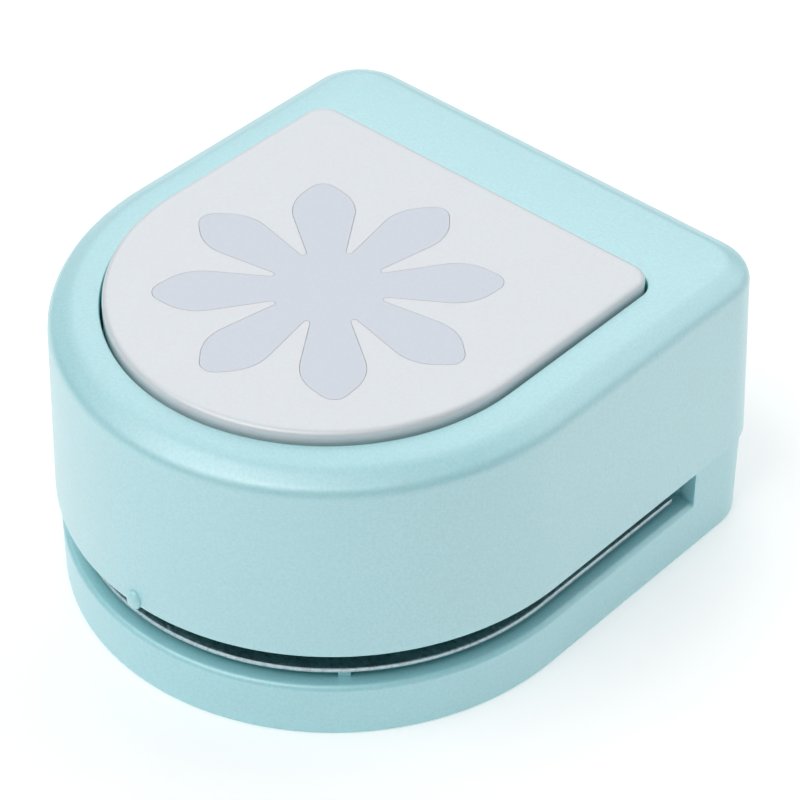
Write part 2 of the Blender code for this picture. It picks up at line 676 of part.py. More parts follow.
def main():
    remove_all_objects()
    mint = make_material("mint_plastic", (0.56, 0.78, 0.83), 0.38)
    mint_base = make_material("mint_base_plastic", (0.48, 0.72, 0.77), 0.42)
    pale_grey = make_material("pale_grey_plastic", (0.73, 0.77, 0.80), 0.35)
    lavender = make_material("lavender_plastic", (0.62, 0.66, 0.75), 0.4)
    steel = make_material("ground_steel", (0.55, 0.56, 0.58), 0.3, 1.0)
    blade_steel = make_material("hardened_steel", (0.42, 0.43, 0.45), 0.25, 1.0)
    zinc = make_material("zinc_plated_steel", (0.66, 0.67, 0.68), 0.35, 1.0)
    spring_steel = make_material("spring_steel", (0.6, 0.6, 0.6), 0.3, 1.0)

    make_base_shell(mint_base)
    make_bottom_cover(mint_base)
    make_plate("die_plate", PLATE_HALF, DIE_UNDER, DIE_TOP, [], steel)
    post_holes = [circle(x, y, POST_RADIUS + GAP) for x, y in spring_places()]
    make_plate("guide_plate", PLATE_HALF - GUIDE_INSET, GUIDE_UNDER, GUIDE_TOP, post_holes, steel)
    make_rear_spacer(steel)
    make_upper_housing(mint)
    make_press_cap(pale_grey)
    make_flower_inlay(lavender)
    make_punch_holder(steel)
    make_punch_blade(blade_steel)
    make_guide_posts(zinc)
    make_return_springs(spring_steel)
    screw_tip = GUIDE_TOP + GAP + SCREW_BITE
    make_screws("base_screw", base_screw_places(), GAP, screw_tip, zinc)
    make_screws("cap_screw", cap_screw_places(), HOLDER_UNDER + GAP, CAP_BOTTOM + CAP_SCREW_BITE, zinc)
    make_plate_rivets(zinc)
    parent_press(["press_cap", "flower_inlay", "punch_holder", "punch_blade"]
                 + [f"cap_screw_{number}" for number in range(1, 5)])


main()
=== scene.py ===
"""Looks of the hand paper punch: fine shells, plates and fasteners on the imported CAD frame.

Metres, +Z up. The rounded front with the paper slot faces -Y and the flat back faces +Y.
"""
import math

import bmesh
import bpy
from mathutils import Matrix, Vector


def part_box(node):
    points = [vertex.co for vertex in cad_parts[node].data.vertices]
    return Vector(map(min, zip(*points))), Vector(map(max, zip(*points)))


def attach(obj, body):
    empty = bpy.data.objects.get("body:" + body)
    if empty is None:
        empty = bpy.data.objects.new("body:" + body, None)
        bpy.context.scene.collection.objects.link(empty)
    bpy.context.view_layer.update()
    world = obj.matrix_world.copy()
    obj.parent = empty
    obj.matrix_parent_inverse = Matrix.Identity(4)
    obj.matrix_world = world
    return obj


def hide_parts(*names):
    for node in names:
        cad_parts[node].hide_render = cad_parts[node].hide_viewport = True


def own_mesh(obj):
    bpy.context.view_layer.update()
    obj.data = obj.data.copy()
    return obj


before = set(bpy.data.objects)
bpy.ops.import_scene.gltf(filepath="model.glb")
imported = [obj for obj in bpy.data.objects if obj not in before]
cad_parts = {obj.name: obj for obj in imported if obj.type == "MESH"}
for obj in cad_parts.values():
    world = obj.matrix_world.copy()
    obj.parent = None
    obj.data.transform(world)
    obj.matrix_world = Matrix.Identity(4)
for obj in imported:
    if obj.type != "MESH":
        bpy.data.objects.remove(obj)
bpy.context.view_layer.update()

MM = 0.001

# Fits of the CAD model, which the fine pieces keep
GAP = 0.3 * MM                    # between neighbouring pieces
FLOWER_GAP = 0.05 * MM            # hairline round the flower in the cap
SEAM = 0.10 * MM                  # between the housing and the base's raised back
OVERCUT = 1.0 * MM                # cutters reach this far past a face
WELD = 0.6 * MM                   # joined shapes sink this deep into each other

# Flower: proportions are shares of its radius
PETALS = 8
PETAL_POINT = 1.042
PETAL_SHOULDER = 0.807
PETAL_HALF = 0.2055
PETAL_ROOT = 0.256
TIP_ROUND = 0.089
SHOULDER_ROUND = 0.284
ROOT_RADIUS = 0.42 * MM

# Plan
BODY_BULGE = 1.018                # front reach over half width
CAP_BULGE = 1.01
HOUSING_CORNER = 8.4 * MM
CAP_CORNER = 3.2 * MM
CAP_PLAY = 0.55 * MM
OPENING_PLAY = 0.35 * MM           # all round between the cap and the fine opening
NUB_PROUD = 0.8 * MM
NUB_HALF_WIDTH = 1.1 * MM
NUB_HALF_HEIGHT = 1.45 * MM
NUB_RISE = 0.8 * MM               # centre above the housing's lower edge

# Housing profile
SIDE_HEIGHT = 24.95 * MM
SHOULDER_RISE = 1.5 * MM
CREASE_RISE = 2.45 * MM
WALL = 2.2 * MM
WALL_DRAFT = 0.65 * MM
BACK_DRAFT = 1.4 * MM
SHOULDER_INSET = 0.9 * MM
SHOULDER_INSET_SHARE = 0.12       # of it, where the side meets the slope
SHOULDER_RISE_SHARE = 0.62
CREASE_INSET = 2.95 * MM
LOWER_EDGE_FILLET = 0.25 * MM
SHOULDER_FILLET = 1.2 * MM
CREASE_FILLET = 0.8 * MM
OPENING_FILLET = 0.3 * MM
COLLAR_WALL = 1.5 * MM
COLLAR_DEPTH = 5.65 * MM

# Base and plates
BASE_WALL = 2.0 * MM
BLOCK_EDGE = 0.2 * MM             # rounding of the raised back's upper edge
FOOT_ROUND = 0.4 * MM
RIM_ROUND = 0.75 * MM
RIM_SWEEP = 78                    # degrees of the rim's rounding
RIM_START = 0.98                  # share of the rounding's radius where it starts
LEDGE_INNER = 6.2 * MM
LEDGE_DEPTH = 3.55 * MM
SLOT_END = 15.3 * MM              # front of the raised back, from the housing's back
SLOT_END_WALL = 2.0 * MM
SLOT_END_STEP = 0.2 * MM          # of the end walls behind the raised back's front
SLOT_END_SINK = 0.1 * MM          # of their tops below its top
TAB_WIDTH = 1.6 * MM
TAB_DEPTH = 0.65 * MM
TAB_RISE = 0.95 * MM
TAB_ANGLES = (-44, 44)            # degrees from the front
GUIDE_INSET = 0.75 * MM
PLATE_SHOULDER = 2.7 * MM
PAPER_STOP = 1.4 * MM
TAIL_INSET = 6.1 * MM
TAIL_CORNER = 2.0 * MM
OUTLET_MARGIN = 2.0 * MM
SHEET = 0.6 * MM                  # the die plate's rim, which lies on the base's lip
SHEET_EDGE = 0.2 * MM
SHEET_UNDER_EDGE = 0.08 * MM
LIP_INSET = 2.7 * MM              # outer face of that lip, from the base's outer face
LIP_OVERLAP = 0.1 * MM            # the rim's cutter passes this far into the lip
LIP_GAP = 0.04 * MM               # between the lip and the sheet
LEDGE_SINK = 0.05 * MM            # of the ledge below the rim's top
TAB_INSET = 0.3 * MM              # outer end of a tab, inside the sheet's edge

# Press
CAP_WALL = 1.8 * MM
CAP_EDGE = 0.9 * MM
CAP_LOWER_EDGE = 0.2 * MM
CAP_RIM = 0.5 * MM                # flat strip between the rounded edge and the top's inner loop
CAP_ROOF = 2.4 * MM
HOLDER_LIP = 1.25 * MM

# Rounded edges of the plates and the blade
GUIDE_EDGE = 0.25 * MM
SPACER_EDGE = 0.15 * MM
COVER_EDGE = 0.3 * MM
HOLDER_EDGE = 0.3 * MM
BLADE_EDGE = 0.08 * MM

# Fasteners and springs
SCREW_RADIUS = 1.2 * MM
SCREW_HEAD_RADIUS = 2.6 * MM
SCREW_HEAD = 0.9 * MM
SCREW_HEAD_FLAT = 0.6 * MM        # rim of the head's flat face
SCREW_HEAD_EDGE = 0.3 * MM
TURNED_EDGE = 0.1 * MM
SCREW_TIP = 0.4 * MM
CROSS_ARM = 1.5 * MM              # cross recess in the screw heads
CROSS_WIDTH = 0.32 * MM           # half the width of an arm
CROSS_DEPTH = 0.6 * MM
CROSS_TAPER = (1.08, 0.55)        # size of the cross at the head's face and at its floor
BOSS_RADIUS = 3.0 * MM
CAP_SCREW_BITE = 3.6 * MM
RIVET_RADIUS = 1.5 * MM
RIVET_HEAD = 0.9 * MM
RIVET_DOME = 0.5 * MM
RIVET_DOME_SHARES = (0.35, 0.9)   # of the head's radius, where the dome starts and ends
POST_RADIUS = 1.5 * MM
POST_FOOT = 0.3 * MM
POST_TIP = 0.5 * MM
POST_EDGE = 0.2 * MM
WIRE_RADIUS = 0.45 * MM
SPRING_TURNS = 7
SPRING_END_PITCH = 1.2 * MM

# Fineness
FRONT_STEPS = 112
CORNER_STEPS = 14
ROUND_STEPS = 40
OUTLET_STEPS = 96
SHOULDER_STEPS = 9
TIP_STEPS = 6
ROOT_STEPS = 6
FILLET_STEPS = 7
WIRE_STEPS = 12
SPRING_STEPS = 32                 # per turn
NUB_STEPS = (40, 24)              # round it, and from top to bottom
SHARP_ANGLE = 35                  # degrees; a steeper edge stays sharp
COIL_SHARP_ANGLE = 60

# Places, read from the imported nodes
housing_low, housing_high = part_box("upper_housing")
base_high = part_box("base_shell")[1]
cover_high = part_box("bottom_cover")[1]
die_low, die_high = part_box("die_plate")
guide_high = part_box("guide_plate")[1]
cap_low, cap_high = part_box("press_cap")
flower_low, flower_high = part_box("flower_inlay")
holder_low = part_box("punch_holder")[0]

HOUSING_HALF = housing_high.x
BACK_Y = housing_high.y
BODY_Y = housing_low.y + NUB_PROUD + HOUSING_HALF * BODY_BULGE
HOUSING_BACK = BACK_Y - BODY_Y
BASE_HALF = base_high.x
BASE_BACK = base_high.y - BODY_Y
BASE_CORNER = HOUSING_CORNER - (HOUSING_HALF - BASE_HALF)
PLATE_HALF = die_high.x
TAIL_HALF = HOUSING_HALF - TAIL_INSET
TAIL_BACK = die_high.y - BODY_Y
BLOCK_Y = BACK_Y - SLOT_END
CAP_HALF = cap_high.x
CAP_Y = cap_low.y + CAP_HALF * CAP_BULGE
CAP_BACK = cap_high.y - CAP_Y
FLOWER_Y = (flower_low.y + flower_high.y) / 2
FLOWER_RADIUS = (flower_high.x - flower_low.x) / 2 + GAP

SLOT_TOP = base_high.z + GAP
RIM_TOP = die_low.z - GAP
SIDE_TOP = SLOT_TOP + SIDE_HEIGHT
OPENING_TOP = housing_high.z
COLLAR_BOTTOM = OPENING_TOP - COLLAR_DEPTH
CAP_TOP = cap_high.z
CAP_BOTTOM = cap_low.z
ROOF_UNDER = CAP_TOP - CAP_ROOF
HEAD_POCKET = SCREW_HEAD + 2 * GAP


# Outlines: lists of (x, y) that run counter-clockwise, seen from above

def arc(centre_x, centre_y, radius_x, radius_y, start, end, steps):
    points = []
    for step in range(steps + 1):
        angle = math.radians(start + (end - start) * step / steps)
        points.append((centre_x + radius_x * math.cos(angle), centre_y + radius_y * math.sin(angle)))
    return points


def circle(x, y, radius, steps=ROUND_STEPS):
    return arc(x, y, radius, radius, 0, 360, steps)[:-1]


def box_outline(x_low, x_high, y_low, y_high):
    return [(x_low, y_low), (x_high, y_low), (x_high, y_high), (x_low, y_high)]


def d_outline(half, back, corner, centre_y, bulge):
    """Rounded front and square back, with the same number of points at every size."""
    corner_y = centre_y + back - corner
    points = arc(0, centre_y, half, half * bulge, -180, 0, FRONT_STEPS)
    points += arc(half - corner, corner_y, corner, corner, 0, 90, CORNER_STEPS)
    points += arc(corner - half, corner_y, corner, corner, 90, 180, CORNER_STEPS)
    return points


def housing_outline(side_inset, back_inset):
    inset = min(side_inset, HOUSING_CORNER - WALL)
    return d_outline(HOUSING_HALF - side_inset, HOUSING_BACK - back_inset,
                     HOUSING_CORNER - inset, BODY_Y, BODY_BULGE)


def base_outline(inset):
    corner = BASE_CORNER - min(inset, BASE_CORNER / 2)
    return d_outline(BASE_HALF - inset, BASE_BACK - inset, corner, BODY_Y, BODY_BULGE)


def cap_outline(outset):
    return d_outline(CAP_HALF + outset, CAP_BACK + outset, CAP_CORNER + outset, CAP_Y, CAP_BULGE)


def tail_outline(front_y):
    corner_x, corner_y = TAIL_HALF - TAIL_CORNER, BODY_Y + TAIL_BACK - TAIL_CORNER
    points = [(TAIL_HALF, front_y)]
    points += arc(corner_x, corner_y, TAIL_CORNER, TAIL_CORNER, 0, 90, CORNER_STEPS)
    points += arc(-corner_x, corner_y, TAIL_CORNER, TAIL_CORNER, 90, 180, CORNER_STEPS)
    return points + [(-TAIL_HALF, front_y)]


def plate_outline(half):
    """D-shaped front, stepped in at the back to pass between the ends of the slot."""
    shoulder_y = BLOCK_Y - PLATE_SHOULDER
    front = arc(0, BODY_Y, half, half * BODY_BULGE, -180, 0, FRONT_STEPS)
    return front + [(half, shoulder_y)] + tail_outline(shoulder_y) + [(-half, shoulder_y)]


def rounded_corner(before, corner, after, radius, steps):
    """The arc that rounds a corner between two straight lines."""
    to_before = (before[0] - corner[0], before[1] - corner[1])
    to_after = (after[0] - corner[0], after[1] - corner[1])
    heading_before = math.atan2(to_before[1], to_before[0])
    heading_after = math.atan2(to_after[1], to_after[0])
    opening = (heading_after - heading_before + math.pi) % (2 * math.pi) - math.pi
    middle = heading_before + opening / 2
    reach = radius / math.sin(abs(opening) / 2)
    centre = (corner[0] + reach * math.cos(middle), corner[1] + reach * math.sin(middle))
    sweep = math.pi - abs(opening)
    turn = math.copysign(sweep, -opening)
    first = middle + math.pi - turn / 2
    return [(centre[0] + radius * math.cos(first + turn * step / steps),
             centre[1] + radius * math.sin(first + turn * step / steps)) for step in range(steps + 1)]


def flower_outline(outset=0.0):
    """Eight blunt petals; the outset moves the whole outline outward."""
    pitch = 2 * math.pi / PETALS
    along, across = FLOWER_RADIUS * PETAL_SHOULDER, FLOWER_RADIUS * PETAL_HALF
    root_x = FLOWER_RADIUS * PETAL_ROOT * math.cos(pitch / 2)
    root_y = FLOWER_RADIUS * PETAL_ROOT * math.sin(pitch / 2)
    right_root, left_root = (root_x, -root_y), (root_x, root_y)
    right, left, tip = (along, -across), (along, across), (FLOWER_RADIUS * PETAL_POINT, 0.0)
    next_right = (along * math.cos(pitch) + across * math.sin(pitch),
                  along * math.sin(pitch) - across * math.cos(pitch))
    tip_radius, shoulder_radius = FLOWER_RADIUS * TIP_ROUND, FLOWER_RADIUS * SHOULDER_ROUND
    petal = rounded_corner(right_root, right, tip, shoulder_radius, SHOULDER_STEPS)
    petal += rounded_corner(right, tip, left, tip_radius, TIP_STEPS)
    petal += rounded_corner(tip, left, left_root, shoulder_radius, SHOULDER_STEPS)
    petal += rounded_corner(left, left_root, next_right, ROOT_RADIUS, ROOT_STEPS)
    points = []
    for index in range(PETALS):
        turn_cos, turn_sin = math.cos(index * pitch), math.sin(index * pitch)
        points += [(x * turn_cos - y * turn_sin, x * turn_sin + y * turn_cos) for x, y in petal]
    points = offset_outline(points, outset)
    return [(x, y + FLOWER_Y) for x, y in points]


def offset_outline(points, distance):
    """Move each point outward along the outline's normal."""
    moved = []
    for index, (x, y) in enumerate(points):
        previous, following = points[index - 1], points[(index + 1) % len(points)]
        normals = []
        for start, end in ((previous, (x, y)), ((x, y), following)):
            length = math.hypot(end[0] - start[0], end[1] - start[1])
            normals.append(((end[1] - start[1]) / length, (start[0] - end[0]) / length))
        (ax, ay), (bx, by) = normals
        scale = distance / (1 + ax * bx + ay * by)
        moved.append((x + (ax + bx) * scale, y + (ay + by) * scale))
    return moved


# Meshes

def level(outline, z):
    return [Vector((x, y, z)) for x, y in outline]


def rounded_loops(sections, ring):
    """Replace each (loop, reach) by loops that round it off.

    The reach is measured along both its neighbours.
    """
    loops = []
    for index, (loop, reach) in enumerate(sections):
        inside = ring or 0 < index < len(sections) - 1
        if not reach or not inside:
            loops.append(loop)
            continue
        before, after = sections[index - 1][0], sections[(index + 1) % len(sections)][0]
        for step in range(FILLET_STEPS + 1):
            t = step / FILLET_STEPS
            rounded = []
            for start, corner, end in zip(before, loop, after):
                near = corner + (start - corner).normalized() * reach
                far = corner + (end - corner).normalized() * reach
                rounded.append(near * (1 - t) ** 2 + corner * 2 * t * (1 - t) + far * t ** 2)
            loops.append(rounded)
    return loops


def add_loft(bm, loops, ring=False):
    """Skin a stack of loops; a ring closes on its first loop and has no caps."""
    rows = [[bm.verts.new(point) for point in loop] for loop in loops]
    pairs = list(zip(rows, rows[1:]))
    if ring:
        pairs.append((rows[-1], rows[0]))
    for lower, upper in pairs:
        for index in range(len(lower)):
            following = (index + 1) % len(lower)
            bm.faces.new((lower[index], lower[following], upper[following], upper[index]))
    if not ring:
        bm.faces.new(list(reversed(rows[0])))
        bm.faces.new(rows[-1])


def add_prism(bm, outline, bottom, top):
    add_loft(bm, [level(outline, bottom), level(outline, top)])


def make_object(name, bm, sharp_angle=SHARP_ANGLE):
    bmesh.ops.recalc_face_normals(bm, faces=bm.faces)
    mesh = bpy.data.meshes.new(name)
    bm.to_mesh(mesh)
    bm.free()
    mesh.shade_smooth()
    mesh.set_sharp_from_angle(angle=math.radians(sharp_angle))
    obj = bpy.data.objects.new(name, mesh)
    bpy.context.scene.collection.objects.link(obj)
    return obj


def apply_shape(target, bm, operation):
    """Cut a bmesh out of the target, or join it to the target, and keep the result as its mesh."""
    tool = make_object(target.name + "_tool", bm)
    modifier = target.modifiers.new("shape", "BOOLEAN")
    modifier.operation = operation
    modifier.solver = "EXACT"
    modifier.object = tool
    bpy.context.view_layer.update()
    evaluated = target.evaluated_get(bpy.context.evaluated_depsgraph_get())
    mesh = bpy.data.meshes.new_from_object(evaluated)
    target.modifiers.clear()
    target.data = mesh
    mesh.name = target.name
    bpy.data.objects.remove(tool, do_unlink=True)
    mesh.shade_smooth()
    mesh.set_sharp_from_angle(angle=math.radians(SHARP_ANGLE))


def place(obj, body, nodes, material):
    """Dress a finished piece and let it stand for its CAD nodes."""
    obj.data.materials.clear()
    obj.data.materials.append(material)
    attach(obj, body)
    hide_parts(*nodes)
    return obj


def fastener_places(prefix, count):
    """Centres of a row of numbered nodes."""
    places = []
    for number in range(1, count + 1):
        low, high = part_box(f"{prefix}_{number}")
        places.append(((low.x + high.x) / 2, (low.y + high.y) / 2))
    return places


BASE_SCREWS = fastener_places("base_screw", 4)
CAP_SCREWS = fastener_places("cap_screw", 4)
RIVETS = fastener_places("plate_rivet", 2)
POSTS = fastener_places("guide_post", 4)


# Materials

MINT_COLOUR = (0.395, 0.735, 0.79)
# painted shade: the housing's mint made a little darker and more saturated for the base and its cover
SHADED_MINT_COLOUR = (0.355, 0.725, 0.785)
PALE_GREY_COLOUR = (0.65, 0.695, 0.735)
LAVENDER_COLOUR = (0.53, 0.585, 0.67)
STEEL_COLOUR = (0.66, 0.72, 0.76)
BLADE_COLOUR = (0.42, 0.43, 0.45)
ZINC_COLOUR = (0.66, 0.67, 0.68)
SPRING_COLOUR = (0.58, 0.58, 0.59)
GAP_SHADE_TEAL = (0.03, 0.62, 0.60)    # painted shade: the dark teal the mint turns to inside a gap
SLOT_REFLECTION_TINT = (0.55, 1.0, 1.0)      # painted reflection: the mint the steel seems to mirror inside the slot
WHITE, BLACK = (1.0, 1.0, 1.0), (0.0, 0.0, 0.0)

CAVITY_REACH = 2.5 * MM           # how far a gap's walls are looked for
CAVITY_SAMPLES = 6
MINT_GAP_SHADE_RANGE = (0.05, 0.35)        # openness where the painted gap shade is full, and where it ends
# openness where the steel's painted mint reflection is full, and where it ends
STEEL_REFLECTION_RANGE = (0.3, 0.75)

PLASTIC_IOR = 1.5
PLASTIC_SPECULAR = 0.7
COAT_ROUGHNESS = 0.42
COAT_IOR = 2.0
GLOW_COLOUR = (0.35, 1.0, 0.95)   # how far each colour of light spreads inside the plastic
GLOW_DEPTH = 1.2 * MM

FINE_GRAIN = 2600                 # noise scales, per metre
BROAD_MOTTLE = 90
SCRATCHES = 220
SCRATCH_STRETCH = 14.0
PORES = 1500
DUST = 1900
DUST_METALLIC = 0.35
ZINC_PATCHES = 900
ZINC_GRAIN = 3000
FLOOR_MOTTLE = 40
FINE_BUMP = 0.02 * MM
BROAD_BUMP = 0.05 * MM


def link(tree, source, output, target, name):
    tree.links.new(source.outputs[output], target.inputs[name])


def noise_node(tree, coordinates, scale, detail, roughness=0.5):
    node = tree.nodes.new("ShaderNodeTexNoise")
    node.inputs["Scale"].default_value = scale
    node.inputs["Detail"].default_value = detail
    node.inputs["Roughness"].default_value = roughness
    link(tree, coordinates, "Object", node, "Vector")
    return node


def ramp_node(tree, source, output, low, high, stops):
    """A colour ramp between two places of a texture's range."""
    node = tree.nodes.new("ShaderNodeValToRGB")
    node.color_ramp.elements[0].position, node.color_ramp.elements[1].position = low, high
    node.color_ramp.elements[0].color = (*stops[0], 1.0)
    node.color_ramp.elements[1].color = (*stops[1], 1.0)
    link(tree, source, output, node, "Fac")
    return node


def range_node(tree, source, output, low, high):
    node = tree.nodes.new("ShaderNodeMapRange")
    node.inputs["From Min"].default_value, node.inputs["From Max"].default_value = 0.3, 0.7
    node.inputs["To Min"].default_value, node.inputs["To Max"].default_value = low, high
    link(tree, source, output, node, "Value")
    return node


def cavity_node(tree, reach):
    """How open the surface is to the space around it."""
    node = tree.nodes.new("ShaderNodeAmbientOcclusion")
    node.samples = CAVITY_SAMPLES
    node.inputs["Distance"].default_value = reach
    return node


def bump_chain(tree, layers):
    """Stack bump nodes; each layer is (texture node, output, strength, depth)."""
    last = None
    for source, output, strength, depth in layers:
        node = tree.nodes.new("ShaderNodeBump")
        node.inputs["Strength"].default_value = strength
        node.inputs["Distance"].default_value = depth
        link(tree, source, output, node, "Height")
        if last:
            link(tree, last, "Normal", node, "Normal")
        last = node
    return last


def shaded(colour, factor):
    return tuple(min(1.0, channel * factor) for channel in colour)


def start_material(name):
    material = bpy.data.materials.new(name)
    material.use_nodes = True
    tree = material.node_tree
    coordinates = tree.nodes.new("ShaderNodeTexCoord")
    return material, tree, tree.nodes["Principled BSDF"], coordinates


def plastic(name, colour, roughness, grain=0.05, mottle=0.02, gap_shade=None, glow=0.0):
    """Moulded plastic: fine spark-eroded grain, faint mottling and, if a gap shade is given, painted
    shade that tints it deep in its gaps.
    """
    material, tree, shader, coordinates = start_material(name)
    fine = noise_node(tree, coordinates, FINE_GRAIN, 2, 0.6)
    broad = noise_node(tree, coordinates, BROAD_MOTTLE, 3)
    speckle = ramp_node(tree, fine, "Fac", 0.32, 0.68,
                        (shaded(colour, 1 - grain), shaded(colour, 1 + grain)))
    clouds = ramp_node(tree, broad, "Fac", 0.3, 0.7, (shaded(WHITE, 1 - mottle), WHITE))
    mix = tree.nodes.new("ShaderNodeMix")
    mix.data_type = "RGBA"
    mix.blend_type = "MULTIPLY"
    mix.inputs["Factor"].default_value = 1.0
    tree.links.new(speckle.outputs["Color"], mix.inputs[6])
    tree.links.new(clouds.outputs["Color"], mix.inputs[7])
    # painted shade: where ambient occlusion finds walls close by, the colour is mixed towards the gap
    # shade teal
    if gap_shade:
        cavity = cavity_node(tree, CAVITY_REACH)
        depth = ramp_node(tree, cavity, "AO", *MINT_GAP_SHADE_RANGE, (WHITE, BLACK))
        painted_gap_tint = tree.nodes.new("ShaderNodeMix")
        painted_gap_tint.data_type = "RGBA"
        painted_gap_tint.inputs[7].default_value = (*gap_shade, 1.0)
        tree.links.new(depth.outputs["Color"], painted_gap_tint.inputs[0])
        tree.links.new(mix.outputs[2], painted_gap_tint.inputs[6])
        mix = painted_gap_tint
    tree.links.new(mix.outputs[2], shader.inputs["Base Color"])
    gloss = range_node(tree, broad, "Fac", roughness - 0.03, roughness + 0.03)
    link(tree, gloss, "Result", shader, "Roughness")
    bump = bump_chain(tree, [(fine, "Fac", 0.12, FINE_BUMP), (broad, "Fac", 0.05, BROAD_BUMP)])
    link(tree, bump, "Normal", shader, "Normal")
    shader.inputs["IOR"].default_value = PLASTIC_IOR
    shader.inputs["Specular IOR Level"].default_value = PLASTIC_SPECULAR
    shader.inputs["Coat Weight"].default_value = 1.0
    shader.inputs["Coat Roughness"].default_value = COAT_ROUGHNESS
    shader.inputs["Coat IOR"].default_value = COAT_IOR
    shader.inputs["Subsurface Weight"].default_value = glow
    shader.inputs["Subsurface Radius"].default_value = GLOW_COLOUR
    shader.inputs["Subsurface Scale"].default_value = GLOW_DEPTH
    return material


def ground_metal(name, colour, roughness, scratch=0.12, speck=0.25):
    """Ground sheet steel: fine parallel scratches, dark pores, uneven gloss and a painted reflection
    of the mint where walls close it in.
    """
    material, tree, shader, coordinates = start_material(name)
    mapping = tree.nodes.new("ShaderNodeMapping")
    mapping.inputs["Scale"].default_value = (1.0, SCRATCH_STRETCH, 1.0)
    link(tree, coordinates, "Object", mapping, "Vector")
    lines = tree.nodes.new("ShaderNodeTexNoise")
    lines.inputs["Scale"].default_value = SCRATCHES
    lines.inputs["Detail"].default_value = 4
    link(tree, mapping, "Vector", lines, "Vector")
    pores = noise_node(tree, coordinates, PORES, 2, 0.7)
    tone = ramp_node(tree, pores, "Fac", 0.36, 0.52, (shaded(colour, 1 - speck), colour))
    # painted reflection: where ambient occlusion finds walls close by, the steel's colour is
    # multiplied towards mint
    cavity = cavity_node(tree, 2 * CAVITY_REACH)
    depth = ramp_node(tree, cavity, "AO", *STEEL_REFLECTION_RANGE, (SLOT_REFLECTION_TINT, WHITE))
    painted_gap_tint = tree.nodes.new("ShaderNodeMix")
    painted_gap_tint.data_type = "RGBA"
    painted_gap_tint.blend_type = "MULTIPLY"
    painted_gap_tint.inputs[0].default_value = 1.0
    tree.links.new(tone.outputs["Color"], painted_gap_tint.inputs[6])
    tree.links.new(depth.outputs["Color"], painted_gap_tint.inputs[7])
    tree.links.new(painted_gap_tint.outputs[2], shader.inputs["Base Color"])
    dust = noise_node(tree, coordinates, DUST, 1, 0.4)
    bare = ramp_node(tree, dust, "Fac", 0.66, 0.72, (WHITE, shaded(WHITE, DUST_METALLIC)))
    link(tree, bare, "Color", shader, "Metallic")
    gloss = range_node(tree, lines, "Fac", roughness - 0.06, roughness + 0.08)
    link(tree, gloss, "Result", shader, "Roughness")
    bump = bump_chain(tree, [(lines, "Fac", scratch, FINE_BUMP), (pores, "Fac", 0.15, FINE_BUMP)])
    link(tree, bump, "Normal", shader, "Normal")
    return material


def plated_metal(name, colour, roughness):
    """Zinc-plated steel: soft crystalline patches and a fine grain."""
    material, tree, shader, coordinates = start_material(name)
    patches = tree.nodes.new("ShaderNodeTexVoronoi")
    patches.inputs["Scale"].default_value = ZINC_PATCHES
    link(tree, coordinates, "Object", patches, "Vector")
    grain = noise_node(tree, coordinates, ZINC_GRAIN, 2)
    tone = ramp_node(tree, patches, "Distance", 0.1, 0.8, (shaded(colour, 0.86), shaded(colour, 1.08)))
    link(tree, tone, "Color", shader, "Base Color")
    gloss = range_node(tree, grain, "Fac", roughness - 0.05, roughness + 0.08)
    link(tree, gloss, "Result", shader, "Roughness")
    bump = bump_chain(tree, [(grain, "Fac", 0.12, FINE_BUMP)])
    link(tree, bump, "Normal", shader, "Normal")
    shader.inputs["Metallic"].default_value = 1.0
    return material


# painted shade: both mints turn dark teal in their gaps
MINT = plastic("mint_plastic_fine", MINT_COLOUR, 0.42, gap_shade=GAP_SHADE_TEAL, glow=0.3)
# painted shade: a darker copy of the housing's mint, used on the base and the bottom cover
SHADED_MINT = plastic("shaded_mint_plastic_fine", SHADED_MINT_COLOUR, 0.45, gap_shade=GAP_SHADE_TEAL, glow=0.3)
PALE_GREY = plastic("pale_grey_plastic_fine", PALE_GREY_COLOUR, 0.38, grain=0.02, glow=0.3)
LAVENDER = plastic("lavender_plastic_fine", LAVENDER_COLOUR, 0.42, grain=0.02)
# the ground steel carries a painted mint reflection in its hollows
STEEL = ground_metal("ground_steel_fine", STEEL_COLOUR, 0.36)
BLADE_STEEL = ground_metal("hardened_steel_fine", BLADE_COLOUR, 0.24, 0.08, 0.15)
ZINC = plated_metal("zinc_plated_steel_fine", ZINC_COLOUR, 0.34)
SPRING_STEEL = plated_metal("spring_steel_fine", SPRING_COLOUR, 0.26)


# Shells

